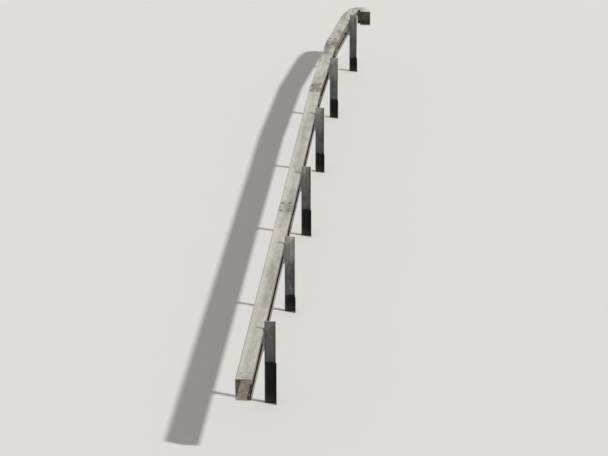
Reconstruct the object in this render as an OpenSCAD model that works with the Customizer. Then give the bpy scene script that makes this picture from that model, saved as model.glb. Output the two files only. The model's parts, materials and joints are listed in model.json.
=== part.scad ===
// Roadside safety barrier: a box beam with an open back, carried on rolled Z posts.
// The beam comes in bolted lengths, turns away from the traffic near its far end and
// is curled back on itself there in a welded return end with an open mouth.
// X points from the traffic side to the back, Y runs along the barrier and Z is up.
// The origin is on the ground, at the middle of the first post's web.

/* [Run] */
// Distance from one post to the next, along the beam
post_pitch = 2400; // [1800:50:3200]
// Bays spanned by a full beam length
bays_per_beam = 2; // [2:1:2]
// Gap left between the ends of two beam lengths
joint_gap = 6; // [5:0.5:12]
// Turn away from the traffic of the short beam length, in degrees
short_turn = 1.5; // [0.5:0.1:2.5]
// Turn away from the traffic of the end length, in degrees
end_turn = 4.8; // [3:0.1:5.5]

/* [Beam section] */
// Height of the beam
beam_h = 200; // [180:5:240]
// Depth of the beam from its face to its back
beam_d = 145; // [130:5:170]
// Thickness of the beam wall
beam_t = 5; // [4:0.5:8]
// Outer radius of the beam corners
beam_r = 16; // [12:1:24]
// Height of each lip on the open back
lip_h = 50; // [40:1:60]
// Height of the beam underside above the ground
beam_z = 510; // [400:10:600]

/* [Far end] */
// Straight stretch of the end length past the last post, before it bends
end_past_post = 190; // [80:10:400]
// Centre-line radius of the easy bend in the end length
ease_radius = 3000; // [2000:50:5000]
// Angle of the easy bend in the end length
ease_angle = 9.5; // [5:0.5:14]
// Centre-line radius of the welded return end
return_radius = 86; // [80:1:160]
// Angle of the welded return end
return_angle = 165; // [120:1:170]
// Straight stub of the return end, running back beside the beam
return_stub = 100; // [60:5:300]

/* [Posts] */
// Rise of the post tops above the top of the beam
post_rise = 80; // [40:5:190]
// Width of the post web, across the barrier
post_web = 110; // [100:5:140]
// Width of each post flange, along the barrier
post_flange = 50; // [40:1:70]
// Thickness of the post steel
post_t = 5; // [4:0.5:8]
// Outer bend radius of the post corners
post_r = 9; // [9:0.5:12]

/* [Beam supports] */
// Width of the support bracket, along the barrier
bracket_w = 80; // [60:1:120]
// Thickness of the support bracket
bracket_t = 6; // [4:0.5:8]
// Outer bend radius of the support bracket
bracket_r = 10; // [9:0.5:14]
// Drop of the bracket's top edge below the top of the beam
bracket_drop = 22; // [10:1:35]
// Reach of the bracket's shelf under the beam
bracket_shelf = 96; // [60:1:120]
// Width of the clamp plate inside the beam, along the barrier
clamp_w = 64; // [50:1:90]
// Gap between the clamp plate and the rounded corners of the beam
clamp_clear = 11; // [5:1:15]
// Thickness of the clamp plate
clamp_t = 8; // [5:0.5:12]
// Diameter of the support bolt hole
support_hole = 14; // [10:0.5:18]

/* [Splices] */
// Length of the inner sleeve that joins two beam lengths
sleeve_len = 360; // [340:10:460]
// Thickness of the inner sleeve
sleeve_t = 5; // [4:0.5:8]
// Clearance between the sleeve and the beam on each side
sleeve_fit = 0.3; // [0.2:0.05:0.5]
// Distance of the splice bolt row from the beam's end
bolt_row = 130; // [110:5:140]
// Spacing of the splice bolts across the top and the underside
bolt_span_top = 76; // [60:1:84]
// Spacing of the splice bolts up the face
bolt_span_face = 100; // [80:1:120]
// Diameter of the splice bolt holes
splice_hole = 18; // [14:0.5:22]

/* [Hidden] */
$fn = 64;

galvanised = [0.80, 0.79, 0.76];
weathered = [0.62, 0.62, 0.60];
plain_zinc = [0.70, 0.71, 0.72];

// The beam centre line lies in front of the web by half the web, the bracket and half the beam.
beam_to_web = post_web / 2 + bracket_t + beam_d / 2;
full_len = bays_per_beam * post_pitch;
half_bay = post_pitch / 2;
end_straight = half_bay + end_past_post;
lengths = [full_len, full_len, post_pitch];
turns = [0, 0, short_turn, end_turn];

// Beginning of each length on the beam centre line
start_0 = [-beam_to_web, -half_bay, 0];
start_1 = start_0 + lengths[0] * [sin(turns[0]), cos(turns[0]), 0];
start_2 = start_1 + lengths[1] * [sin(turns[1]), cos(turns[1]), 0];
start_3 = start_2 + lengths[2] * [sin(turns[2]), cos(turns[2]), 0];
starts = [start_0, start_1, start_2, start_3];

// The length that each post carries, and the post's place along that length
post_length = [0, 0, 1, 1, 2, 3];
post_along = [half_bay, half_bay + post_pitch, half_bay, half_bay + post_pitch, half_bay, half_bay];

slot_h = beam_h - 2 * lip_h;
beam_mid = beam_z + beam_h / 2;
post_h = beam_z + beam_h + post_rise;
bracket_leg = beam_h - bracket_drop;
clamp_h = beam_h - 2 * (beam_r + clamp_clear);
bolt_y = post_flange / 2 - post_t / 2;
cut = 1;

// Places what is drawn in the frame of one beam length, on the ground below its centre line
module on_length(i) {
  translate(starts[i]) rotate([0, 0, -turns[i]]) children();
}

// Places what is drawn at the foot of one post, at the middle of its web
module at_post(n) {
  on_length(post_length[n - 1])
    translate([beam_to_web, post_along[n - 1], 0]) children();
}

module rounded_rect(w, h, r) {
  translate([-w / 2 + r, 0]) square([w - 2 * r, h]);
  translate([-w / 2, r]) square([w, h - 2 * r]);
  for (x = [-w / 2 + r, w / 2 - r], y = [r, h - r])
    translate([x, y]) circle(r);
}

// Open box: a rounded tube section with a slot along its back
module open_box(w, h, t, r, slot) {
  difference() {
    rounded_rect(w, h, r);
    translate([0, t]) rounded_rect(w - 2 * t, h - 2 * t, max(r - t, 1));
    translate([w / 2 - t - cut, (h - slot) / 2]) square([t + 2 * cut, slot]);
  }
}

module beam_section() {
  translate([0, beam_z]) open_box(beam_d, beam_h, beam_t, beam_r, slot_h);
}

// Plated channel: rounded at the face, square and fully open at the back
module channel_section() {
  difference() {
    translate([0, beam_z]) {
      rounded_rect(beam_d, beam_h, beam_r);
      square([beam_d / 2, beam_h]);
    }
    translate([0, beam_z + beam_t]) {
      rounded_rect(beam_d - 2 * beam_t, beam_h - 2 * beam_t, beam_r - beam_t);
      square([beam_d / 2 + cut, beam_h - 2 * beam_t]);
    }
  }
}

sleeve_d = beam_d - 2 * beam_t - 2 * sleeve_fit;
sleeve_h = beam_h - 2 * beam_t - 2 * sleeve_fit;
sleeve_r = beam_r - beam_t - sleeve_fit;

module sleeve_section(depth) {
  translate([0, beam_z + beam_t + sleeve_fit])
    open_box(depth, sleeve_h, sleeve_t, sleeve_r, slot_h);
}

// Runs a section straight along Y
module straight(from, to) {
  translate([0, to, 0]) rotate([90, 0, 0]) linear_extrude(height = to - from) children();
}

// Bends a section to the right about an upright axis, starting straight ahead
module bend(radius, angle) {
  translate([radius, 0, 0]) mirror([1, 0, 0])
    rotate_extrude(angle = angle) translate([radius, 0]) mirror([1, 0]) children();
}

module after_bend(radius, angle) {
  translate([radius * (1 - cos(angle)), radius * sin(angle), 0])
    rotate([0, 0, -angle]) children();
}

// One row of splice bolt holes through the top, the face and the underside
module splice_holes(y) {
  for (x = [-1, 1] * bolt_span_top / 2)
    translate([x, y, beam_z - cut]) cylinder(d = splice_hole, h = beam_h + 2 * cut);
  for (z = [-1, 1] * bolt_span_face / 2)
    translate([-beam_d / 2 - cut, y, beam_mid + z]) rotate([0, 90, 0])
      cylinder(d = splice_hole, h = beam_d / 2);
}

// A straight beam length with a row of bolt holes at each end
module beam_length(i) {
  on_length(i) color(galvanised) difference() {
    straight(joint_gap / 2, lengths[i] - joint_gap / 2) beam_section();
    splice_holes(bolt_row);
    splice_holes(lengths[i] - bolt_row);
  }
}

module beam_near() beam_length(0);
module beam_middle() beam_length(1);
module beam_short() beam_length(2);

// Frame at the end of the straight stretch of the end length
module past_straight() {
  on_length(3) translate([0, end_straight, 0]) children();
}

// Frame at the end of the return end's bend
module past_return() {
  past_straight() after_bend(ease_radius, ease_angle)
    after_bend(return_radius, return_angle) children();
}

module beam_end() {
  color(galvanised) difference() {
    past_straight() {
      straight(joint_gap / 2 - end_straight, 0) beam_section();
      bend(ease_radius, ease_angle) beam_section();
    }
    on_length(3) splice_holes(bolt_row);
  }
}

module return_end() {
  color(galvanised) past_return() {
    mirror([0, 1, 0]) bend(return_radius, return_angle) channel_section();
    straight(0, return_stub) channel_section();
  }
}

// Straight inner sleeve across the joint at the end of one length, set halfway through the
// turn there and made slimmer by as much as the turn carries its ends sideways.
module splice(i) {
  half_turn = (turns[i + 1] - turns[i]) / 2;
  sway = sleeve_len / 2 * sin(half_turn);
  color(weathered) difference() {
    translate(starts[i + 1]) rotate([0, 0, -turns[i] - half_turn])
      straight(-sleeve_len / 2, sleeve_len / 2) sleeve_section(sleeve_d - 2 * sway);
    on_length(i) splice_holes(lengths[i] - bolt_row);
    on_length(i + 1) splice_holes(bolt_row);
  }
}

module splice_near() splice(0);
module splice_middle() splice(1);
module splice_far() splice(2);

// Z section seen from above, with the front flange pointing along the run
module post_section() {
  inner_r = post_r - post_t;
  half = post_web / 2;
  for (side = [0, 180]) rotate(side) {
    difference() {
      translate([-half, -post_t / 2]) square([half, post_flange]);
      translate([-half + post_t + inner_r, post_t / 2]) square([half, post_flange]);
      translate([-half + post_t, post_t / 2 + inner_r]) square([half, post_flange]);
      translate([-half + post_r, -post_t / 2 + post_r]) circle(inner_r);
      difference() {
        translate([-half - cut, -post_t / 2 - cut]) square([post_r + cut, post_r + cut]);
        translate([-half + post_r, -post_t / 2 + post_r]) circle(post_r);
      }
    }
  }
}

module post(n) {
  at_post(n) color(weathered) difference() {
    linear_extrude(height = post_h) post_section();
    translate([-post_web / 2 - cut, bolt_y, beam_mid]) rotate([0, 90, 0])
      cylinder(d = support_hole, h = post_t + 2 * cut);
  }
}

// Folded bracket: the leg stands between the beam lips and the post, the shelf is under the beam
module bracket_section() {
  inner_r = bracket_r - bracket_t;
  difference() {
    translate([-bracket_shelf, -bracket_t]) square([bracket_shelf + bracket_t, bracket_leg + bracket_t]);
    translate([-bracket_shelf - cut, inner_r]) square([bracket_shelf + cut, bracket_leg + cut]);
    translate([-bracket_shelf - cut, 0]) square([bracket_shelf + cut - inner_r, inner_r + cut]);
    translate([-inner_r, inner_r]) circle(inner_r);
    difference() {
      translate([bracket_t - bracket_r, -bracket_t - cut]) square([bracket_r + cut, bracket_r + cut]);
      translate([-inner_r, inner_r]) circle(bracket_r);
    }
  }
}

module bracket(n) {
  at_post(n) color(plain_zinc) difference() {
    translate([-post_web / 2 - bracket_t, bolt_y - bracket_w / 2, beam_z])
      straight(0, bracket_w) bracket_section();
    translate([-post_web / 2 - bracket_t - cut, bolt_y, beam_mid]) rotate([0, 90, 0])
      cylinder(d = support_hole, h = bracket_t + 2 * cut);
  }
}

// Plate inside the beam that bears on both lips
module clamp(n) {
  at_post(n) color(plain_zinc) difference() {
    translate([-post_web / 2 - bracket_t - beam_t - clamp_t, bolt_y - clamp_w / 2, beam_mid - clamp_h / 2])
      cube([clamp_t, clamp_w, clamp_h]);
    translate([-post_web / 2 - bracket_t - beam_t - clamp_t - cut, bolt_y, beam_mid]) rotate([0, 90, 0])
      cylinder(d = support_hole, h = clamp_t + 2 * cut);
  }
}

beam_near();
beam_middle();
beam_short();
beam_end();
return_end();
splice_near();
splice_middle();
splice_far();
post(1);  // post_1
post(2);  // post_2
post(3);  // post_3
post(4);  // post_4
post(5);  // post_5
post(6);  // post_6
bracket(1);  // bracket_1
bracket(2);  // bracket_2
bracket(3);  // bracket_3
bracket(4);  // bracket_4
bracket(5);  // bracket_5
bracket(6);  // bracket_6
clamp(1);  // clamp_1
clamp(2);  // clamp_2
clamp(3);  // clamp_3
clamp(4);  // clamp_4
clamp(5);  // clamp_5
clamp(6);  // clamp_6
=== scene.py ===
"""Looks of a run of open box beam safety barrier on Z posts.

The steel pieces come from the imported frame. This file gives them their weathered zinc, the
dark coat at the post feet and their dirt, adds the bolts and the weld, and sets the stage.
"""

import json
import math

import bmesh
import bpy
from bpy.props import FloatProperty, FloatVectorProperty, IntProperty, PointerProperty
from bpy.types import NodeSocket, Operator, Panel, PropertyGroup, Scene
from mathutils import Matrix, Vector


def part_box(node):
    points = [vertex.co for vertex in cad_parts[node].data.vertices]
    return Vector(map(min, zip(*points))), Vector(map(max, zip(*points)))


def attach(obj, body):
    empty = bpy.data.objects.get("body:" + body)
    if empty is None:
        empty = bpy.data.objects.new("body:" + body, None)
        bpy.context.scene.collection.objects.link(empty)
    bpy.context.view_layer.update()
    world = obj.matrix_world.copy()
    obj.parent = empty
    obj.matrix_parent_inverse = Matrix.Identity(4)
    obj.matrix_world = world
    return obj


bl_info = {
    "name": "Box Beam Barrier",
    "version": (1, 0, 0),
    "blender": (4, 5, 0),
    "location": "View3D > Sidebar > Barrier",
    "description": "Dresses a run of open box beam safety barrier and sets its stage",
    "category": "Add Mesh",
}

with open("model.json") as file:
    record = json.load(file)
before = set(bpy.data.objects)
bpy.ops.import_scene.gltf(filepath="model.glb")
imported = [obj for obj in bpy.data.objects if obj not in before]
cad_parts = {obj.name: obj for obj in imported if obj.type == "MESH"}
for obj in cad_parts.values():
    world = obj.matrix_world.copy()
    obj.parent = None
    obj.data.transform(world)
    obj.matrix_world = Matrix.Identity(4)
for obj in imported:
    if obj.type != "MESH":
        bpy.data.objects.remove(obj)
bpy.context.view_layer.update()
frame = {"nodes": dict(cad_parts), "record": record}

BODY = "root"
BEAMS = ("beam_near", "beam_middle", "beam_short", "beam_end", "return_end")
SPLICES = ("splice_near", "splice_middle", "splice_far")
POST_NUMBERS = range(1, 7)

# Looks of each beam piece, in the order of BEAMS: the tone of its zinc, the tone of its
# blotches, the strength of the painted highlight on its paler side and how dark its back is made
BEAM_TONES = (0.96, 0.99, 1.05, 1.03, 0.98)
BLOTCH_TONES = (1.0, 1.0, 0.6, 0.65, 0.8)
BEAM_HIGHLIGHTS = (0.45, 0.36, 0.08, 0.08, 0.9)
BACK_DARKENING = (1.0, 1.0, 1.0, 1.0, 0.0)
# Looks of each post: the tone of its zinc, and the share of the coat spread by which its coat
# is higher or lower
POST_TONES = (0.42, 1.05, 0.65, 0.75, 0.8, 0.6)
COAT_SHARES = (1.0, -0.6, 0.3, -0.2, -0.1, -0.5)
# Stain at the start of each beam length: its strength, its distance past the start and its
# reach to both sides
STAIN_STRENGTHS = (0.32, 0.4, 0.8, 0.72)
STAIN_SHIFTS = (0.0, 0.0, 0.0, -0.18)
STAIN_REACH = 0.28
# Tones of the paler zinc that carries the painted highlights, and of the zinc on the bolts
HIGHLIGHT_TONE = 1.25
BOLT_TONE = 0.42
# Rise of the road film's upper edge above the beam's underside, on the beam and on the posts
BEAM_FILM_RISE = 0.02
POST_FILM_RISE = -0.09

# Sizes of bolts, nuts and washers as shares of the thread diameter
DOME_RADIUS = 1.05
DOME_RISE = 0.55
DOME_RIM = 0.12
HEAD_HEIGHT = 0.62
NUT_HEIGHT = 0.85
ACROSS_FLATS = 1.5
WASHER_THICKNESS = 0.19
WASHER_INNER = 0.53
WASHER_OUTER = 0.94
THREAD_PITCH = 0.125
THREAD_PAST_NUT = 0.38
THREAD_IN_NUT = 0.1
# Shares of the nut's height, the nut's width, the washer's thickness and the thread's pitch
SHANK_IN_NUT = 0.2
CORNER_CUT = 0.07
WASHER_CHAMFER = 0.2
THREAD_DEPTH = 0.6

DOME_STEPS = 6
SHARP_ANGLE = math.radians(35)
WELD_SIDES = 8
RIPPLE_STEPS = 4
RIPPLE_SWELL = 0.12


def box_size(node):
    """Width, length and height of a node of the frame."""
    low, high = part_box(node)
    return high - low


def box_middle(node):
    """Middle of a node of the frame."""
    low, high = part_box(node)
    return (low + high) / 2


class BarrierRun(PropertyGroup):
    """Places along the run that the bolts and the stains follow"""

    joint_gap: FloatProperty(
        name="Joint Gap",
        description="Gap between the ends of two beam lengths",
        default=0.006,
        min=0.0,
        unit="LENGTH",
    )
    short_turn: FloatProperty(
        name="Short Length Turn",
        description="Turn of the short beam length away from the traffic",
        default=math.radians(1.5),
        subtype="ANGLE",
    )
    end_turn: FloatProperty(
        name="End Length Turn",
        description="Turn of the end length away from the traffic",
        default=math.radians(4.8),
        subtype="ANGLE",
    )
    end_past_post: FloatProperty(
        name="End Past Post",
        description="Straight stretch of the end length past the last post",
        default=0.19,
        unit="LENGTH",
    )
    ease_radius: FloatProperty(
        name="Ease Radius",
        description="Centre-line radius of the easy bend in the end length",
        default=3.0,
        unit="LENGTH",
    )
    ease_angle: FloatProperty(
        name="Ease Angle",
        description="Angle of the easy bend in the end length",
        default=math.radians(9.5),
        subtype="ANGLE",
    )
    corner_radius: FloatProperty(
        name="Corner Radius",
        description="Outer radius of the beam corners",
        default=0.016,
        unit="LENGTH",
    )
    wall: FloatProperty(
        name="Wall",
        description="Thickness of the beam and sleeve walls",
        default=0.005,
        unit="LENGTH",
    )
    sleeve_fit: FloatProperty(
        name="Sleeve Fit",
        description="Clearance between the sleeve and the beam",
        default=0.0003,
        precision=4,
        unit="LENGTH",
    )


class BarrierBolts(PropertyGroup):
    """Sizes of the splice bolts and the support bolts"""

    row: FloatProperty(
        name="Row",
        description="Distance of a splice bolt row from the joint",
        default=0.130,
        unit="LENGTH",
    )
    span_top: FloatProperty(
        name="Span Across",
        description="Spacing of the splice bolts across the top and the underside",
        default=0.076,
        unit="LENGTH",
    )
    span_face: FloatProperty(
        name="Span Up",
        description="Spacing of the splice bolts up the face",
        default=0.100,
        unit="LENGTH",
    )
    splice_diameter: FloatProperty(
        name="Splice Bolt",
        description="Thread diameter of the splice bolts",
        default=0.016,
        unit="LENGTH",
    )
    support_diameter: FloatProperty(
        name="Support Bolt",
        description="Thread diameter of the support bolts",
        default=0.012,
        unit="LENGTH",
    )
    segments: IntProperty(
        name="Segments",
        description="Facets round each bolt and washer",
        default=20,
        min=8,
    )


class BarrierWeld(PropertyGroup):
    """Bead of the butt weld between the end length and the return end"""

    width: FloatProperty(
        name="Width",
        description="Width of the bead",
        default=0.012,
        precision=4,
        unit="LENGTH",
    )
    rise: FloatProperty(
        name="Rise",
        description="Height of the bead above the steel",
        default=0.0035,
        precision=4,
        unit="LENGTH",
    )
    ripple: FloatProperty(
        name="Ripple",
        description="Distance from one ripple of the bead to the next",
        default=0.0036,
        precision=4,
        unit="LENGTH",
    )


class BarrierFinish(PropertyGroup):
    """Colours of the steel, its coat and its dirt"""

    pale_zinc: FloatVectorProperty(
        name="Pale Zinc",
        description="Sun-bleached zinc on the beam",
        subtype="COLOR",
        size=4,
        default=(0.625, 0.60, 0.525, 1.0),
    )
    dull_zinc: FloatVectorProperty(
        name="Dull Zinc",
        description="Dull blotches in the zinc",
        subtype="COLOR",
        size=4,
        default=(0.32, 0.312, 0.277, 1.0),
    )
    post_zinc: FloatVectorProperty(
        name="Post Zinc",
        description="Weathered zinc on the webs of the posts",
        subtype="COLOR",
        size=4,
        default=(0.60, 0.60, 0.575, 1.0),
    )
    post_film: FloatVectorProperty(
        name="Post Film",
        description="Bluish road film on the posts below the beam",
        subtype="COLOR",
        size=4,
        default=(0.095, 0.095, 0.105, 1.0),
    )
    fresh_zinc: FloatVectorProperty(
        name="Fresh Zinc",
        description="Newer zinc on the brackets, the plates and the weld",
        subtype="COLOR",
        size=4,
        default=(0.52, 0.53, 0.53, 1.0),
    )
    grime: FloatVectorProperty(
        name="Grime",
        description="Road film and rain marks",
        subtype="COLOR",
        size=4,
        default=(0.115, 0.105, 0.090, 1.0),
    )
    soil: FloatVectorProperty(
        name="Soil",
        description="Dust and splashed soil",
        subtype="COLOR",
        size=4,
        default=(0.24, 0.185, 0.125, 1.0),
    )
    rust: FloatVectorProperty(
        name="Rust",
        description="Rust at the bolts and the cut edges",
        subtype="COLOR",
        size=4,
        default=(0.17, 0.075, 0.035, 1.0),
    )
    coat: FloatVectorProperty(
        name="Foot Coat",
        description="Dark protective coat on the post feet",
        subtype="COLOR",
        size=4,
        default=(0.008, 0.009, 0.009, 1.0),
    )
    coat_height: FloatProperty(
        name="Coat Height",
        description="Height of the dark coat above the ground",
        default=0.26,
        unit="LENGTH",
    )
    coat_spread: FloatProperty(
        name="Coat Spread",
        description="Difference in coat height from post to post",
        default=0.14,
        unit="LENGTH",
    )


class BarrierStage(PropertyGroup):
    """Floor, light and camera"""

    floor_colour: FloatVectorProperty(
        name="Floor",
        description="Colour of the floor and the background",
        subtype="COLOR",
        size=4,
        default=(0.74, 0.73, 0.71, 1.0),
    )
    floor_radius: FloatProperty(
        name="Floor Radius",
        description="Radius of the round floor",
        default=120.0,
        unit="LENGTH",
    )
    sun_from: FloatVectorProperty(
        name="Light From",
        description="Direction that the main light comes from",
        subtype="DIRECTION",
        default=(0.93, -0.37, 1.0),
    )
    sun_strength: FloatProperty(
        name="Light Strength",
        description="Strength of the main light",
        default=2.6,
    )
    sun_softness: FloatProperty(
        name="Light Softness",
        description="Angle that the main light fills in the sky",
        default=math.radians(3.5),
        subtype="ANGLE",
    )
    sky_strength: FloatProperty(
        name="Sky Strength",
        description="Strength of the even light from all round",
        default=0.40,
    )
    eye: FloatVectorProperty(
        name="Eye",
        description="Place of the camera",
        subtype="TRANSLATION",
        default=(1.68, -20.1, 8.35),
    )
    aim: FloatVectorProperty(
        name="Aim",
        description="Point that the camera looks at",
        subtype="TRANSLATION",
        default=(0.07, 3.4, 0.55),
    )
    lens: FloatProperty(
        name="Lens",
        description="Focal length of the camera in millimetres",
        default=142.0,
        unit="CAMERA",
    )


def length_starts(run):
    """Start of each beam length on the ground below its centre line, with its turn."""
    first = box_middle("beam_near")
    start = Vector((first.x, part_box("beam_near")[0].y - run.joint_gap / 2, 0))
    turns = (0.0, 0.0, run.short_turn, run.end_turn)
    depth = box_size("beam_near").x
    places = []
    for node, turn in zip(BEAMS, turns):
        places.append((start, turn))
        length = (box_size(node).y - depth * math.sin(turn)) / math.cos(turn) + run.joint_gap
        start = start + length * Vector((math.sin(turn), math.cos(turn), 0))
    return places


def placed(start, turn):
    """Matrix of a frame at start whose Y axis is turned to the right."""
    return Matrix.Translation(start) @ Matrix.Rotation(-turn, 4, "Z")


def bend_end(run):
    """Frame at the end of the easy bend, where the return end is welded on."""
    start, turn = length_starts(run)[-1]
    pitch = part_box("post_2")[0].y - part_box("post_1")[0].y
    radius = run.ease_radius
    angle = run.ease_angle
    bend_start = placed(start, turn) @ Matrix.Translation((0, pitch / 2 + run.end_past_post, 0))
    chord = Vector((radius * (1 - math.cos(angle)), radius * math.sin(angle), 0))
    return bend_start @ placed(chord, angle)


def post_place(run, number):
    """Foot of a post, in the middle of its web, and the turn of the length that it carries."""
    feet = {m["name"]: m["pos_m"] for m in frame["record"]["mounts"]}
    foot = Vector(feet[f"post_{number}_foot"])
    turn = 0.0
    for start, length_turn in length_starts(run):
        if foot.y > start.y:
            turn = length_turn
    return foot, turn


def feed(target, value):
    """Links a socket to the target socket, or sets the target's own value."""
    if isinstance(value, NodeSocket):
        target.id_data.links.new(value, target)
    else:
        target.default_value = value


def add_node(kind, inputs, tree=None, **fields):
    """Adds a node, sets its fields and feeds its inputs.

    Where no tree is given, it joins the tree of the first socket among its inputs.
    """
    if tree is None:
        sockets = (value for value in inputs.values() if isinstance(value, NodeSocket))
        tree = next(sockets).id_data
    made = tree.nodes.new(kind)
    for name, value in fields.items():
        setattr(made, name, value)
    for key, value in inputs.items():
        feed(made.inputs[key], value)
    return made


def blend_colour(factor, first, second, blend="MIX"):
    """Second colour over the first where the factor is high."""
    inputs = {0: factor, 6: first, 7: second}
    return add_node("ShaderNodeMix", inputs, data_type="RGBA", blend_type=blend).outputs[2]


def blend_value(factor, first, second):
    """Second value over the first where the factor is high."""
    inputs = {0: factor, 2: first, 3: second}
    return add_node("ShaderNodeMix", inputs, data_type="FLOAT").outputs[0]


def calculate(operation, first, second=0.0, clamp=False):
    """One arithmetic step on values."""
    inputs = {0: first, 1: second}
    return add_node("ShaderNodeMath", inputs, operation=operation, use_clamp=clamp).outputs[0]


def times(first, second, clamp=False):
    """Product of two values."""
    return calculate("MULTIPLY", first, second, clamp)


def larger(first, second):
    """Larger of two values."""
    return calculate("MAXIMUM", first, second)


def inverse(mask):
    """Mask that is high where the given one is low."""
    return calculate("SUBTRACT", 1.0, mask)


def fade(value, low, high):
    """Smooth mask that is 0 where the value is low and 1 where it is high."""
    inputs = {"Value": value, "From Min": low, "From Max": high}
    made = add_node("ShaderNodeMapRange", inputs, interpolation_type="SMOOTHSTEP")
    return made.outputs["Result"]


def drawn_out(position, scales):
    """Position scaled along X, Y and Z, so that a pattern is drawn out where a scale is low."""
    return add_node("ShaderNodeMapping", {"Vector": position, "Scale": scales}).outputs["Vector"]


def noise(position, scale, detail=3.0, roughness=0.55, stretch=None):
    """Cloudy value, stretched by scales along X, Y and Z where they are given."""
    if stretch:
        position = drawn_out(position, stretch)
    inputs = {"Vector": position, "Scale": scale, "Detail": detail, "Roughness": roughness}
    return add_node("ShaderNodeTexNoise", inputs).outputs["Fac"]


def split(vector):
    """X, Y and Z of a vector."""
    return add_node("ShaderNodeSeparateXYZ", {"Vector": vector}).outputs


def new_group(name, inputs, outputs):
    """Empty node group with sockets of the named kinds, and its inner ends."""
    tree = bpy.data.node_groups.new(name, "ShaderNodeTree")
    for side, sockets in (("INPUT", inputs), ("OUTPUT", outputs)):
        for label, kind in sockets.items():
            tree.interface.new_socket(label, in_out=side, socket_type=f"NodeSocket{kind}")
    start = tree.nodes.new("NodeGroupInput")
    end = tree.nodes.new("NodeGroupOutput")
    return start.outputs, end.inputs


def finish_group(end, **results):
    """Feeds the results to the group's outputs of the same names."""
    for name, socket in results.items():
        feed(end[name], socket)


def zinc_group():
    """Zinc: long tone changes, drawn-out blotches, faint crystals and a grainy height."""
    start, end = new_group(
        "Zinc",
        {
            "Position": "Vector", "Drawn": "Vector", "Pale": "Color", "Dull": "Color",
            "Blotches": "Float", "Crystals": "Float",
        },
        {"Color": "Color", "Roughness": "Float", "Metallic": "Float", "Height": "Float"},
    )
    position = start["Position"]
    drawn = start["Drawn"]
    tone = fade(noise(drawn, 4.4, 2.0, 0.5), 0.36, 0.66)
    mottle = fade(noise(drawn, 12.0, 4.0, 0.62), 0.42, 0.66)
    speckle = noise(drawn, 38.0, 3.0, 0.6)
    spots = fade(speckle, 0.48, 0.70)
    share = calculate("ADD", times(mottle, 0.55), times(spots, 0.45))
    share = calculate("ADD", share, times(tone, 0.4))
    share = times(share, start["Blotches"], clamp=True)
    colour = blend_colour(share, start["Pale"], start["Dull"])
    crystal = add_node("ShaderNodeTexVoronoi", {"Vector": position, "Scale": 75.0})
    shade = split(crystal.outputs["Color"])[0]
    shade = blend_value(shade, inverse(start["Crystals"]), 1.0)
    grey = add_node("ShaderNodeCombineColor", {0: shade, 1: shade, 2: shade}).outputs[0]
    colour = blend_colour(1.0, colour, grey, "MULTIPLY")
    rough = blend_value(share, 0.52, 0.74)
    metal = blend_value(share, 0.38, 0.12)
    grain = noise(position, 260.0, 2.0)
    height = calculate("ADD", times(grain, 0.35), speckle)
    finish_group(end, Color=colour, Roughness=rough, Metallic=metal, Height=height)


def rain_group():
    """Rain marks: clustered streaks that start at a top edge and run down to uneven lengths."""
    start, end = new_group(
        "Rain Marks",
        {
            "Position": "Vector", "Normal": "Vector", "Top": "Float", "Longest": "Float",
            "Amount": "Float",
        },
        {"Mask": "Float"},
    )
    position = start["Position"]
    column = fade(noise(position, 1.0, 3.0, 0.65, stretch=(62, 62, 1.3)), 0.42, 0.74)
    cluster = fade(noise(position, 3.4, 2.0, 0.5, stretch=(1, 1, 0.3)), 0.38, 0.62)
    fall = calculate("SUBTRACT", start["Top"], split(position)[2])
    reach = times(column, start["Longest"])
    marks = fade(calculate("SUBTRACT", reach, fall), 0.0, 0.06)
    marks = times(marks, blend_value(cluster, 0.2, 1.0))
    marks = times(marks, blend_value(column, 0.45, 1.1))
    upward = calculate("ABSOLUTE", split(start["Normal"])[2])
    standing = inverse(fade(upward, 0.35, 0.85))
    finish_group(end, Mask=times(times(marks, standing), start["Amount"], clamp=True))


def level_group():
    """Everything below a level, with a ragged upper edge."""
    start, end = new_group(
        "Below Level",
        {"Position": "Vector", "Level": "Float", "Fade": "Float", "Ragged": "Float"},
        {"Mask": "Float"},
    )
    height = split(start["Position"])[2]
    wave = noise(start["Position"], 24.0, 4.0, 0.6)
    wave = times(calculate("SUBTRACT", wave, 0.5), start["Ragged"])
    level = calculate("ADD", start["Level"], wave)
    top = calculate("ADD", level, start["Fade"])
    finish_group(end, Mask=inverse(fade(height, level, top)))


def stain_group():
    """Cloudy stain round one place along the run."""
    start, end = new_group(
        "Stain At", {"Position": "Vector", "Along": "Float", "Reach": "Float"}, {"Mask": "Float"}
    )
    along = split(start["Position"])[1]
    away = calculate("ABSOLUTE", calculate("SUBTRACT", along, start["Along"]))
    near = times(inverse(calculate("DIVIDE", away, start["Reach"])), 1.8, clamp=True)
    cloud = fade(noise(start["Position"], 15.0, 4.0, 0.65), 0.34, 0.58)
    finish_group(end, Mask=times(near, cloud))


def rust_group():
    """Scattered rust spots with soft rims."""
    start, end = new_group(
        "Rust Spots", {"Position": "Vector", "Scale": "Float", "Amount": "Float"}, {"Mask": "Float"}
    )
    cloud = noise(start["Position"], start["Scale"], 6.0, 0.7)
    low = calculate("SUBTRACT", 0.78, times(start["Amount"], 0.3))
    finish_group(end, Mask=fade(cloud, low, calculate("ADD", low, 0.1)))


GROUP_MAKERS = {
    "Zinc": zinc_group,
    "Rain Marks": rain_group,
    "Below Level": level_group,
    "Stain At": stain_group,
    "Rust Spots": rust_group,
}


def use_group(name, **inputs):
    """Places a shared group with its own values, and makes the group at its first use."""
    if name not in bpy.data.node_groups:
        GROUP_MAKERS[name]()
    return add_node("ShaderNodeGroup", inputs, node_tree=bpy.data.node_groups[name]).outputs


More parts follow.
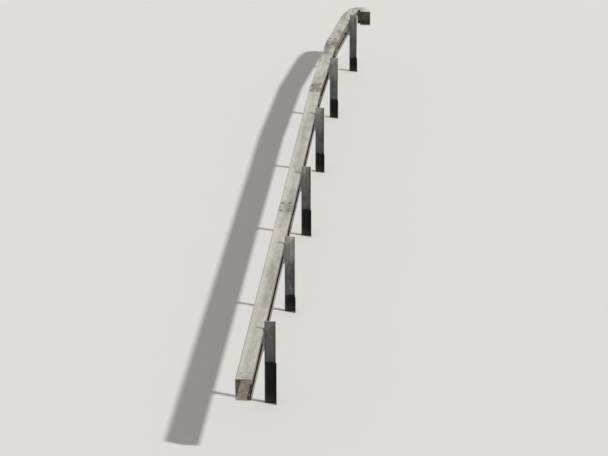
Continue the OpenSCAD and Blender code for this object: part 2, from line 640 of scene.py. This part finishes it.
def new_material(name):
    """Material with an empty Principled shader, and what its patterns read."""
    material = bpy.data.materials.new(name)
    material.use_nodes = True
    position = add_node("ShaderNodeTexCoord", {}, material.node_tree).outputs["Object"]
    normal = add_node("ShaderNodeNewGeometry", {}, material.node_tree).outputs["Normal"]
    return material, position, normal


def finish_material(material, colour, rough, metal, height, depth, specular=0.5):
    """Feeds the Principled shader, with the height through a Bump node."""
    shader = material.node_tree.nodes["Principled BSDF"].inputs
    bump = add_node("ShaderNodeBump", {"Strength": 0.6, "Distance": depth, "Height": height})
    feed(shader["Base Color"], colour)
    feed(shader["Roughness"], rough)
    feed(shader["Metallic"], metal)
    feed(shader["Normal"], bump.outputs["Normal"])
    feed(shader["Specular IOR Level"], specular)
    return material


def toned(colour, tone):
    """Colour made lighter or darker by a tone."""
    return [min(1.0, tone * part) for part in colour[:3]] + [1.0]


def beam_material(node, finish, stains, tone, blotch_tone, highlight_share, back_darkening):
    """Weathered beam: paler side and corners (partly wear, partly a painted highlight), rain marks,
    road film, a darker back, dust inside and stained joints.
    """
    material, position, normal = new_material(f"{node}_zinc")
    facing = split(normal)
    pale = toned(finish.pale_zinc, tone)
    zinc = use_group(
        "Zinc", Position=position, Drawn=drawn_out(position, (1, 0.2, 1)), Pale=pale,
        Dull=toned(finish.dull_zinc, blotch_tone), Blotches=0.95, Crystals=0.08,
    )
    # Paler zinc on the traffic-side corners and side: partly wear, partly a painted highlight
    wear_and_highlight = larger(times(worn_and_highlit_corners(facing), 0.5), times(highlit_side(node, position), highlight_share))
    colour = blend_colour(wear_and_highlight, zinc["Color"], toned(pale, HIGHLIGHT_TONE))
    rain = use_group(
        "Rain Marks", Position=position, Normal=normal, Top=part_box(node)[1].z, Longest=0.26,
        Amount=0.6,
    )["Mask"]
    colour = blend_colour(rain, colour, finish.grime)
    film = road_film_and_dark_back(position, facing, back_darkening)
    colour = blend_colour(film, colour, finish.grime)
    dust = inner_dust(position, facing)
    colour = blend_colour(dust, colour, finish.soil)
    for along, strength in zip(stains, STAIN_STRENGTHS):
        stain = use_group("Stain At", Position=position, Along=along, Reach=STAIN_REACH)["Mask"]
        colour = blend_colour(times(stain, strength), colour, finish.grime)
    rust = use_group("Rust Spots", Position=position, Scale=13.0, Amount=0.22)["Mask"]
    colour = blend_colour(rust, colour, finish.rust)
    dirt = larger(rain, larger(film, dust))
    rough = blend_value(dirt, zinc["Roughness"], 0.85)
    metal = blend_value(dirt, zinc["Metallic"], 0.0)
    return finish_material(material, colour, rough, metal, zinc["Height"], depth=0.0008)


def worn_and_highlit_corners(facing):
    """Rounded corners of the beam on the side of the traffic, made paler partly from wear and
    partly as a painted highlight.
    """
    level = times(facing[2], facing[2])
    rounded = times(level, inverse(level))
    return times(fade(rounded, 0.02, 0.22), calculate("LESS_THAN", facing[0], 0.0))


def highlit_side(node, position):
    """Side of a beam piece made paler, partly weathering and partly a painted highlight: towards
    the traffic, or outward on the return end.
    """
    low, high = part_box(node)
    middle = (low.x + high.x) / 2
    inset = 0.02
    if node == "return_end":
        sides = (middle, high.x - inset)
    else:
        sides = (middle + inset / 2, low.x + inset)
    return fade(split(position)[0], *sides)


def road_film_and_dark_back(position, facing, back_darkening):
    """Grey film low on the traffic face and under the beam, and the back made darker all over with
    the same grey.
    """
    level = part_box("beam_near")[0].z + BEAM_FILM_RISE
    low_part = use_group("Below Level", Position=position, Level=level, Fade=0.14, Ragged=0.08)
    to_traffic = fade(times(facing[0], -1.0), 0.3, 0.9)
    under = fade(times(facing[2], -1.0), 0.3, 0.9)
    film = times(times(low_part["Mask"], larger(to_traffic, under)), 0.55)
    cloud = fade(noise(position, 8.0, 4.0, 0.65, stretch=(1, 0.4, 2.5)), 0.32, 0.68)
    # The whole back, facing away from the traffic, is made darker with the grey of the road film
    at_back = times(fade(facing[0], 0.7, 0.95), back_darkening)
    return larger(film, times(at_back, blend_value(cloud, 0.6, 0.9)))


def inner_dust(position, facing):
    """Dust that lies on the floor of the channel inside the beam."""
    beam_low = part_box("beam_near")[0].z
    height = split(position)[2]
    above = calculate("GREATER_THAN", height, beam_low - 0.001)
    below = calculate("LESS_THAN", height, beam_low + 0.02)
    lying = times(times(above, below), fade(facing[2], 0.6, 0.95))
    patchy = fade(noise(position, 14.0, 4.0, 0.6), 0.3, 0.6)
    return times(lying, blend_value(patchy, 0.45, 0.95))


def sleeve_material(finish):
    """Inner sleeve: shaded zinc that keeps its crystals, dusty on its floor."""
    material, position, normal = new_material("sleeve_zinc")
    zinc = use_group(
        "Zinc", Position=position, Drawn=position, Pale=finish.fresh_zinc, Dull=finish.dull_zinc,
        Blotches=0.7, Crystals=0.18,
    )
    dust = inner_dust(position, split(normal))
    colour = blend_colour(dust, zinc["Color"], finish.soil)
    rust = use_group("Rust Spots", Position=position, Scale=22.0, Amount=0.30)["Mask"]
    colour = blend_colour(rust, colour, finish.rust)
    rough = blend_value(dust, zinc["Roughness"], 0.9)
    metal = zinc["Metallic"]
    return finish_material(material, colour, rough, metal, zinc["Height"], depth=0.0006)


def post_material(number, run, finish):
    """Post: weathered zinc with pale edges (partly wear, partly a painted highlight), a painted
    highlight on its sunlit flange, road film, rain marks, a foot coat and soil.
    """
    material, position, normal = new_material(f"post_{number}_zinc")
    foot, turn = post_place(run, number)
    centred = add_node(
        "ShaderNodeMapping", {"Vector": position, "Location": foot, "Rotation": (0, 0, -turn)},
        vector_type="TEXTURE",
    ).outputs["Vector"]
    zinc = use_group(
        "Zinc", Position=position, Drawn=drawn_out(position, (1, 1, 0.25)),
        Pale=toned(finish.post_zinc, POST_TONES[number - 1]), Dull=finish.grime, Blotches=0.5,
        Crystals=0.12,
    )
    colour = blend_colour(post_film(position, normal), zinc["Color"], finish.post_film)
    # Pale edges, partly wear and partly a painted highlight, then a painted highlight on the sunlit
    # flange
    worn_and_highlight, sunlit_highlight = post_edges(run, centred)
    colour = blend_colour(worn_and_highlight, colour, finish.pale_zinc)
    colour = blend_colour(sunlit_highlight, colour, toned(finish.pale_zinc, HIGHLIGHT_TONE))
    rain = use_group(
        "Rain Marks", Position=position, Normal=normal, Top=box_size("post_1").z, Longest=0.7,
        Amount=0.6,
    )["Mask"]
    streaks = times(rain, inverse(larger(times(worn_and_highlight, 0.65), sunlit_highlight)))
    colour = blend_colour(streaks, colour, finish.grime)
    rust = use_group("Rust Spots", Position=position, Scale=26.0, Amount=0.25)["Mask"]
    colour = blend_colour(rust, colour, finish.rust)
    coat = foot_coat(finish, number, position, centred)
    colour = blend_colour(coat, colour, finish.coat)
    splash = use_group("Below Level", Position=position, Level=0.01, Fade=0.09, Ragged=0.09)["Mask"]
    flecks = fade(noise(position, 120.0, 3.0, 0.7), 0.42, 0.62)
    splash = times(splash, times(flecks, 0.4))
    colour = blend_colour(splash, colour, finish.soil)
    rough = blend_value(coat, zinc["Roughness"], 0.7)
    rough = blend_value(splash, rough, 0.9)
    metal = blend_value(coat, zinc["Metallic"], 0.0)
    height = calculate("ADD", zinc["Height"], times(coat, 0.8))
    return finish_material(material, colour, rough, metal, height, depth=0.0008, specular=0.2)


def post_film(position, normal):
    """Road film on the web faces below the beam, thinner higher up."""
    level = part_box("beam_near")[0].z + POST_FILM_RISE
    low_part = use_group("Below Level", Position=position, Level=level, Fade=0.22, Ragged=0.16)
    along = calculate("ABSOLUTE", split(normal)[1])
    film = times(low_part["Mask"], fade(along, 0.4, 0.9))
    cloud = fade(noise(position, 9.0, 3.0, 0.6, stretch=(3, 3, 1)), 0.3, 0.7)
    return times(film, blend_value(cloud, 0.7, 1.0))


def post_edges(run, centred):
    """Pale zinc on the outer sides, the edges and the top of a post, partly rubbed wear and partly
    a painted highlight.

    The second mask is a painted highlight on the sunlit flange, on the side away from the beam.
    """
    web, flange, top = box_size("post_1")
    outside = split(centred)
    across = calculate("ABSOLUTE", outside[0])
    along = calculate("ABSOLUTE", outside[1])
    skin = run.wall * 0.2
    tip = flange / 2 - skin
    outer = fade(across, web / 2 - skin, web / 2 - skin / 2)
    wear_and_highlight = larger(outer, fade(along, tip - skin, tip))
    cap = fade(outside[2], top - skin, top - skin / 2)
    patchy = fade(noise(centred, 30.0, 3.0, 0.6, stretch=(1, 1, 0.3)), 0.25, 0.6)
    worn_and_highlight = times(larger(wear_and_highlight, cap), blend_value(patchy, 0.55, 0.85))
    # The flange on the side away from the beam, lit by the sun, gets a painted highlight
    away = calculate("GREATER_THAN", outside[0], web / 2 - run.wall - skin)
    return worn_and_highlight, times(times(wear_and_highlight, away), 0.95)


def foot_coat(finish, number, position, centred):
    """Dark coat on the foot of a post, thinner on the side towards the traffic from wear."""
    level = finish.coat_height + COAT_SHARES[number - 1] * finish.coat_spread - 0.01
    coat = use_group("Below Level", Position=position, Level=level, Fade=0.02, Ragged=0.07)
    half_web = box_size("post_1").x / 2
    wave = times(noise(position, 30.0, 3.0, 0.6), half_web * 0.4)
    across = calculate("ADD", split(centred)[0], wave)
    kept = fade(across, -half_web * 0.75, -half_web * 0.35)
    return times(coat["Mask"], blend_value(kept, 0.6, 1.0))


def support_material(finish):
    """Brackets and clamp plates: newer zinc with rain marks and a little rust."""
    material, position, normal = new_material("support_zinc")
    zinc = use_group(
        "Zinc", Position=position, Drawn=position, Pale=finish.fresh_zinc, Dull=finish.dull_zinc,
        Blotches=0.55, Crystals=0.20,
    )
    rain = use_group(
        "Rain Marks", Position=position, Normal=normal, Top=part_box("bracket_1")[1].z,
        Longest=0.22, Amount=0.5,
    )["Mask"]
    colour = blend_colour(rain, zinc["Color"], finish.grime)
    rust = use_group("Rust Spots", Position=position, Scale=30.0, Amount=0.40)["Mask"]
    colour = blend_colour(rust, colour, finish.rust)
    rough = blend_value(rain, zinc["Roughness"], 0.8)
    metal = zinc["Metallic"]
    return finish_material(material, colour, rough, metal, zinc["Height"], depth=0.0005)


def rusting_material(name, finish, pale, dull, blotches, rust_scale, rust_amount):
    """Zinc on a small part, which has begun to rust through."""
    material, position, _ = new_material(name)
    zinc = use_group(
        "Zinc", Position=position, Drawn=position, Pale=pale, Dull=dull, Blotches=blotches,
        Crystals=0.05,
    )
    rust = use_group("Rust Spots", Position=position, Scale=rust_scale, Amount=rust_amount)["Mask"]
    colour = blend_colour(rust, zinc["Color"], finish.rust)
    rough = blend_value(rust, zinc["Roughness"], 0.85)
    metal = blend_value(rust, zinc["Metallic"], 0.0)
    return finish_material(material, colour, rough, metal, zinc["Height"], depth=0.0003)


def bolt_material(finish):
    """Dark dull zinc of the bolts, nuts and washers, made once."""
    dark = toned(finish.fresh_zinc, BOLT_TONE)
    return bpy.data.materials.get("bolt_steel") or rusting_material(
        "bolt_steel", finish, dark, finish.grime, blotches=0.8, rust_scale=60.0, rust_amount=0.95
    )


def weld_material(finish):
    """Bare silver zinc paint of the weld bead."""
    return rusting_material(
        "weld_zinc", finish, finish.fresh_zinc, finish.dull_zinc, blotches=0.6, rust_scale=45.0,
        rust_amount=0.75,
    )


def dress(node, material):
    """Gives a steel piece of the frame its material."""
    mesh = frame["nodes"][node].data
    mesh.materials.clear()
    mesh.materials.append(material)


def spin_profile(bm, points, segments, close=False):
    """Turns an outline of (radius, height) points round the Z axis."""
    verts = [bm.verts.new((radius, 0, height)) for radius, height in points]
    pairs = list(zip(verts, verts[1:]))
    if close:
        pairs.append((verts[-1], verts[0]))
    edges = [bm.edges.new(pair) for pair in pairs]
    bmesh.ops.spin(
        bm, geom=verts + edges, cent=(0, 0, 0), axis=(0, 0, 1), dvec=(0, 0, 0),
        angle=math.tau, steps=segments, use_merge=True,
    )


def dome_head(bm, diameter, shank_end, segments):
    """Low domed bolt head that stands on the XY plane, with its shank down to its end."""
    radius = diameter * DOME_RADIUS
    rise = diameter * DOME_RISE
    rim = diameter * DOME_RIM
    points = []
    for step in range(DOME_STEPS + 1):
        angle = math.pi / 2 * (1 - step / DOME_STEPS)
        points.append((radius * math.cos(angle), rim + (rise - rim) * math.sin(angle)))
    points += [(radius, 0), (diameter / 2, 0), (diameter / 2, shank_end), (0, shank_end)]
    spin_profile(bm, points, segments)


def hexagon(bm, diameter, low, high):
    """Hexagonal nut or head between two heights, with its corners taken off."""
    across = diameter * ACROSS_FLATS
    made = bmesh.ops.create_circle(
        bm, segments=6, radius=across / math.sqrt(3), cap_ends=True,
        matrix=Matrix.Translation((0, 0, low)),
    )
    faces = list({f for v in made["verts"] for f in v.link_faces})
    raised = bmesh.ops.extrude_face_region(bm, geom=faces)["geom"]
    verts = [g for g in raised if isinstance(g, bmesh.types.BMVert)]
    bmesh.ops.translate(bm, verts=verts, vec=(0, 0, high - low))
    bmesh.ops.bevel(
        bm, geom=verts + made["verts"], offset=across * CORNER_CUT, segments=1, profile=0.5,
        affect="VERTICES", material=-1,
    )


def washer(bm, diameter, low, segments):
    """Flat round washer that stands on a height."""
    inner = diameter * WASHER_INNER
    outer = diameter * WASHER_OUTER
    high = low + diameter * WASHER_THICKNESS
    chamfer = (high - low) * WASHER_CHAMFER
    points = [
        (inner, low), (outer - chamfer, low), (outer, low + chamfer), (outer, high - chamfer),
        (outer - chamfer, high), (inner, high),
    ]
    spin_profile(bm, points, segments, close=True)


def thread_end(bm, diameter, low, high, segments):
    """Threaded end of a bolt, pointing down to low, with its top hidden in the nut at high."""
    pitch = diameter * THREAD_PITCH
    chamfer = pitch / 2
    core = diameter / 2 - pitch * THREAD_DEPTH
    outline = [(0, low), (core - chamfer, low), (core, low + chamfer), (core, high), (0, high)]
    spin_profile(bm, outline, segments)
    turns = int((high - low - chamfer) / pitch)
    # Corners of the ridge: radius, and place within the pitch
    foot = core - pitch * 0.1
    ridge = [(foot, 0.1), (diameter / 2, 0.5), (foot, 0.9)]
    verts = [bm.verts.new((radius, 0, low + chamfer + up * pitch)) for radius, up in ridge]
    edges = [bm.edges.new(pair) for pair in zip(verts, verts[1:] + verts[:1])]
    spun = bmesh.ops.spin(
        bm, geom=verts + edges, cent=(0, 0, 0), axis=(0, 0, 1), dvec=(0, 0, pitch / segments),
        angle=math.tau * turns, steps=segments * turns, use_merge=False,
    )
    last = [item for item in spun["geom_last"] if isinstance(item, bmesh.types.BMEdge)]
    for end in (edges, last):
        bmesh.ops.holes_fill(bm, edges=end, sides=len(ridge))


def fastener_mesh(head, diameter, grip, segments):
    """Bolt with its head on the XY plane, its washer and nut past the grip below."""
    bm = bmesh.new()
    washer_thickness = diameter * WASHER_THICKNESS
    washer_low = -grip - washer_thickness
    nut_height = diameter * NUT_HEIGHT
    nut_low = washer_low - nut_height
    shank_end = washer_low - nut_height * SHANK_IN_NUT
    if head == "dome":
        dome_head(bm, diameter, shank_end, segments)
    else:
        head_high = washer_thickness + diameter * HEAD_HEIGHT
        washer(bm, diameter, 0, segments)
        hexagon(bm, diameter, washer_thickness, head_high)
        inside = (washer_thickness + head_high) / 2
        radius = diameter / 2
        shank = [(0, inside), (radius, inside), (radius, shank_end), (0, shank_end)]
        spin_profile(bm, shank, segments)
    washer(bm, diameter, washer_low, segments)
    hexagon(bm, diameter, nut_low, washer_low)
    thread_low = nut_low - diameter * THREAD_PAST_NUT
    thread_end(bm, diameter, thread_low, nut_low + diameter * THREAD_IN_NUT, segments)
    bmesh.ops.remove_doubles(bm, verts=bm.verts, dist=1e-6)
    bmesh.ops.recalc_face_normals(bm, faces=bm.faces)
    mesh = bpy.data.meshes.new("bolt")
    bm.to_mesh(mesh)
    bm.free()
    return mesh


def add_bolt(bm, head, diameter, grip, segments, matrix):
    """Adds a bolt, placed by a matrix."""
    known = len(bm.verts)
    mesh = fastener_mesh(head, diameter, grip, segments)
    bm.from_mesh(mesh)
    bpy.data.meshes.remove(mesh)
    bm.verts.ensure_lookup_table()
    bmesh.ops.transform(bm, matrix=matrix, verts=bm.verts[known:])


def add_object(name, bm, material):
    """Object at the origin, made from a bmesh and its material."""
    mesh = bpy.data.meshes.new(name)
    bm.to_mesh(mesh)
    bm.free()
    mesh.materials.append(material)
    made = bpy.data.objects.new(name, mesh)
    bpy.context.scene.collection.objects.link(made)
    return made


def finish_piece(name, bm, material):
    """Smooths a piece between its sharp edges, makes it steel and lets it ride."""
    for face in bm.faces:
        face.smooth = True
    for edge in bm.edges:
        edge.smooth = len(edge.link_faces) == 2 and edge.calc_face_angle(0) < SHARP_ANGLE
    piece = add_object(name, bm, material)
    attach(piece, BODY)


def weld_path(corner, step):
    """Points and directions along the outer outline of the beam, from its back over its face."""
    low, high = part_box("beam_near")
    half_depth = (high.x - low.x) / 2
    tops = half_depth - corner
    sides = high.z - low.z - 2 * corner
    arc = math.pi / 2 * corner
    total = 2 * (2 * tops + arc) + sides
    steps = round(total / step)
    for number in range(steps + 1):
        along = total * number / steps
        mirrored = along > total / 2
        if mirrored:
            along = total - along
        if along < 2 * tops:
            angle = 0.0
            point = Vector((tops - along, 0, high.z))
        elif along < 2 * tops + arc:
            angle = (along - 2 * tops) / corner
            centre = Vector((-tops, 0, high.z - corner))
            point = centre + corner * Vector((-math.sin(angle), 0, math.cos(angle)))
        else:
            angle = math.pi / 2
            point = Vector((-half_depth, 0, high.z - corner - (along - 2 * tops - arc)))
        direction = Vector((-math.cos(angle), 0, -math.sin(angle)))
        if mirrored:
            point.z = low.z + high.z - point.z
            direction.x = -direction.x
        yield point, direction


def weld_frames(run, weld):
    """Frames along the weld, sized to the bead with its ripples."""
    joint = bend_end(run)
    side = Vector((0, 1, 0))
    path = weld_path(run.corner_radius, weld.ripple / RIPPLE_STEPS)
    for number, (point, direction) in enumerate(path):
        swell = 1 + RIPPLE_SWELL * math.cos(math.tau * number / RIPPLE_STEPS)
        turned = Matrix((side, direction.cross(side), direction)).transposed().to_4x4()
        size = Matrix.Diagonal((weld.width / 2 * swell, weld.rise * swell, 1, 1))
        yield joint @ Matrix.Translation(point) @ turned @ size


def sweep_ring(bm, frames, sides):
    """Draws a ring along a row of frames and closes both ends."""
    made = bmesh.ops.create_circle(bm, segments=sides, radius=1.0, cap_ends=False, matrix=frames[0])
    first = list({edge for vert in made["verts"] for edge in vert.link_edges})
    edges = first
    for before, after in zip(frames, frames[1:]):
        drawn = bmesh.ops.extrude_edge_only(bm, edges=edges)["geom"]
        verts = {item for item in drawn if isinstance(item, bmesh.types.BMVert)}
        bmesh.ops.transform(bm, matrix=after @ before.inverted(), verts=list(verts))
        edges = [
            item for item in drawn
            if isinstance(item, bmesh.types.BMEdge) and verts.issuperset(item.verts)
        ]
    for end in (first, edges):
        bmesh.ops.holes_fill(bm, edges=end, sides=sides)


def splice_bolt_places(run, bolts, joint):
    """Matrix of each bolt at a joint, with the length of its grip."""
    low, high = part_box("beam_near")
    half_depth = (high.x - low.x) / 2
    middle = (low.z + high.z) / 2
    (_, turn_before), (start, turn) = length_starts(run)[joint:joint + 2]
    before = placed(start, turn_before) @ Matrix.Translation((0, -bolts.row, 0))
    after = placed(start, turn) @ Matrix.Translation((0, bolts.row, 0))
    sleeve_half = box_size(SPLICES[0]).y / 2
    grip = 2 * run.wall + run.sleeve_fit
    face_grip = grip + (sleeve_half - bolts.row) * math.sin((turn - turn_before) / 2)
    face_turn = Matrix.Rotation(-math.pi / 2, 4, "Y")
    under_turn = Matrix.Rotation(math.pi, 4, "Y")
    for row in (before, after):
        for side in (-0.5, 0.5):
            across = side * bolts.span_top
            up = middle + side * bolts.span_face
            yield row @ Matrix.Translation((across, 0, high.z)), grip
            yield row @ Matrix.Translation((across, 0, low.z)) @ under_turn, grip
            yield row @ Matrix.Translation((-half_depth, 0, up)) @ face_turn, face_grip


class BARRIER_OT_dress_beams(Operator):
    """Give the beam lengths and the return end their weathered zinc"""

    bl_idname = "barrier.dress_beams"
    bl_label = "Dress Beams"

    def execute(self, context):
        finish = context.scene.barrier_finish
        places = length_starts(context.scene.barrier_run)
        stains = [start.y + shift for (start, _), shift in zip(places, STAIN_SHIFTS)]
        for node, *looks in zip(BEAMS, BEAM_TONES, BLOTCH_TONES, BEAM_HIGHLIGHTS, BACK_DARKENING):
            dress(node, beam_material(node, finish, stains, *looks))
        return {"FINISHED"}


class BARRIER_OT_dress_sleeves(Operator):
    """Give the inner sleeves their shaded zinc"""

    bl_idname = "barrier.dress_sleeves"
    bl_label = "Dress Sleeves"

    def execute(self, context):
        material = sleeve_material(context.scene.barrier_finish)
        for node in SPLICES:
            dress(node, material)
        return {"FINISHED"}


class BARRIER_OT_dress_posts(Operator):
    """Give the posts their weathered zinc and the coat at their feet"""

    bl_idname = "barrier.dress_posts"
    bl_label = "Dress Posts"

    def execute(self, context):
        scene = context.scene
        for number in POST_NUMBERS:
            material = post_material(number, scene.barrier_run, scene.barrier_finish)
            dress(f"post_{number}", material)
        return {"FINISHED"}


class BARRIER_OT_dress_supports(Operator):
    """Give the brackets and the clamp plates their newer zinc"""

    bl_idname = "barrier.dress_supports"
    bl_label = "Dress Supports"

    def execute(self, context):
        material = support_material(context.scene.barrier_finish)
        for number in POST_NUMBERS:
            dress(f"bracket_{number}", material)
            dress(f"clamp_{number}", material)
        return {"FINISHED"}


class BARRIER_OT_add_splice_bolts(Operator):
    """Add the domed bolts with their nuts at each beam joint"""

    bl_idname = "barrier.add_splice_bolts"
    bl_label = "Add Splice Bolts"

    def execute(self, context):
        bolts = context.scene.barrier_bolts
        material = bolt_material(context.scene.barrier_finish)
        for joint, node in enumerate(SPLICES):
            bm = bmesh.new()
            for place, grip in splice_bolt_places(context.scene.barrier_run, bolts, joint):
                add_bolt(bm, "dome", bolts.splice_diameter, grip, bolts.segments, place)
            finish_piece(node.replace("splice", "splice_bolts"), bm, material)
        return {"FINISHED"}


class BARRIER_OT_add_support_bolts(Operator):
    """Add the bolt that holds the beam to each post"""

    bl_idname = "barrier.add_support_bolts"
    bl_label = "Add Support Bolts"

    def execute(self, context):
        run = context.scene.barrier_run
        bolts = context.scene.barrier_bolts
        material = bolt_material(context.scene.barrier_finish)
        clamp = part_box("clamp_1")[0]
        across = box_middle("clamp_1").y
        level = box_middle("beam_near").z
        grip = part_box("post_1")[0].x + run.wall - clamp.x
        turned = Matrix.Rotation(-math.pi / 2, 4, "Y")
        on_clamp = Matrix.Translation((clamp.x, across, level)) @ turned
        for number in POST_NUMBERS:
            bm = bmesh.new()
            place = placed(*post_place(run, number)) @ on_clamp
            add_bolt(bm, "hexagon", bolts.support_diameter, grip, bolts.segments, place)
            finish_piece(f"support_bolt_{number}", bm, material)
        return {"FINISHED"}


class BARRIER_OT_add_weld(Operator):
    """Add the rippled bead between the end length and the return end"""

    bl_idname = "barrier.add_weld"
    bl_label = "Add Weld"

    def execute(self, context):
        scene = context.scene
        bm = bmesh.new()
        sweep_ring(bm, list(weld_frames(scene.barrier_run, scene.barrier_weld)), WELD_SIDES)
        bmesh.ops.recalc_face_normals(bm, faces=bm.faces)
        finish_piece("return_weld", bm, weld_material(scene.barrier_finish))
        return {"FINISHED"}


class BARRIER_OT_set_stage(Operator):
    """Set the floor, the light and the camera"""

    bl_idname = "barrier.set_stage"
    bl_label = "Set Stage"

    def execute(self, context):
        stage = context.scene.barrier_stage
        add_floor(stage)
        add_light(context.scene, stage)
        set_world(context.scene, stage)
        add_camera(context.scene, stage)
        context.scene.view_settings.view_transform = "Standard"
        return {"FINISHED"}


def add_floor(stage):
    """Round pale floor at ground level."""
    bm = bmesh.new()
    bmesh.ops.create_circle(bm, segments=64, radius=stage.floor_radius, cap_ends=True)
    material = bpy.data.materials.new("floor_paint")
    material.use_nodes = True
    shader = material.node_tree.nodes["Principled BSDF"].inputs
    feed(shader["Base Color"], stage.floor_colour)
    feed(shader["Roughness"], 0.95)
    feed(shader["Specular IOR Level"], 0.1)
    floor = add_object("floor", bm, material)


def add_light(scene, stage):
    """Soft main light from the side and slightly behind the camera."""
    lamp = bpy.data.lights.new("main_light", "SUN")
    lamp.energy = stage.sun_strength
    lamp.angle = stage.sun_softness
    light = bpy.data.objects.new("main_light", lamp)
    light.rotation_mode = "QUATERNION"
    light.rotation_quaternion = Vector(stage.sun_from).to_track_quat("Z", "Y")
    scene.collection.objects.link(light)


def set_world(scene, stage):
    """Even light all round, with the floor's colour where the world is seen or mirrored."""
    world = bpy.data.worlds.new("sky")
    world.use_nodes = True
    tree = world.node_tree
    tree.nodes.clear()
    path = add_node("ShaderNodeLightPath", {}, tree).outputs
    seen = larger(path["Is Camera Ray"], path["Is Glossy Ray"])
    seen = larger(seen, path["Is Transmission Ray"])
    light = {"Color": (1, 1, 1, 1), "Strength": stage.sky_strength}
    even = add_node("ShaderNodeBackground", light, tree).outputs[0]
    view = {"Color": stage.floor_colour, "Strength": 1.0}
    back = add_node("ShaderNodeBackground", view, tree).outputs[0]
    both = add_node("ShaderNodeMixShader", {0: seen, 1: even, 2: back}).outputs[0]
    add_node("ShaderNodeOutputWorld", {"Surface": both})
    scene.world = world


def add_camera(scene, stage):
    """Camera at the photograph's viewing angle."""
    data = bpy.data.cameras.new("camera")
    data.sensor_width = 36.0
    data.lens = stage.lens
    data.clip_start = 0.5
    data.clip_end = 500.0
    camera = bpy.data.objects.new("camera", data)
    camera.location = stage.eye
    camera.rotation_mode = "QUATERNION"
    sight = Vector(stage.aim) - Vector(stage.eye)
    camera.rotation_quaternion = sight.to_track_quat("-Z", "Y")
    scene.collection.objects.link(camera)
    scene.camera = camera


class BARRIER_PT_panel(Panel):
    """Steps that dress the barrier, in order"""

    bl_idname = "BARRIER_PT_panel"
    bl_label = "Box Beam Barrier"
    bl_space_type = "VIEW_3D"
    bl_region_type = "UI"
    bl_category = "Barrier"

    def draw(self, context):
        for operator in OPERATORS:
            self.layout.operator(operator.bl_idname)


PROPERTY_GROUPS = {
    "barrier_run": BarrierRun,
    "barrier_bolts": BarrierBolts,
    "barrier_weld": BarrierWeld,
    "barrier_finish": BarrierFinish,
    "barrier_stage": BarrierStage,
}
OPERATORS = (
    BARRIER_OT_set_stage,
    BARRIER_OT_dress_beams,
    BARRIER_OT_dress_sleeves,
    BARRIER_OT_dress_posts,
    BARRIER_OT_dress_supports,
    BARRIER_OT_add_splice_bolts,
    BARRIER_OT_add_support_bolts,
    BARRIER_OT_add_weld,
)
CLASSES = (*PROPERTY_GROUPS.values(), *OPERATORS, BARRIER_PT_panel)


def register():
    for cls in CLASSES:
        bpy.utils.register_class(cls)
    for name, group in PROPERTY_GROUPS.items():
        setattr(Scene, name, PointerProperty(type=group))


def unregister():
    for name in PROPERTY_GROUPS:
        delattr(Scene, name)
    for cls in reversed(CLASSES):
        bpy.utils.unregister_class(cls)


def main():
    register()
    bpy.ops.barrier.set_stage()
    bpy.ops.barrier.dress_beams()
    bpy.ops.barrier.dress_sleeves()
    bpy.ops.barrier.dress_posts()
    bpy.ops.barrier.dress_supports()
    bpy.ops.barrier.add_splice_bolts()
    bpy.ops.barrier.add_support_bolts()
    bpy.ops.barrier.add_weld()


if __name__ == "__main__":
    main()
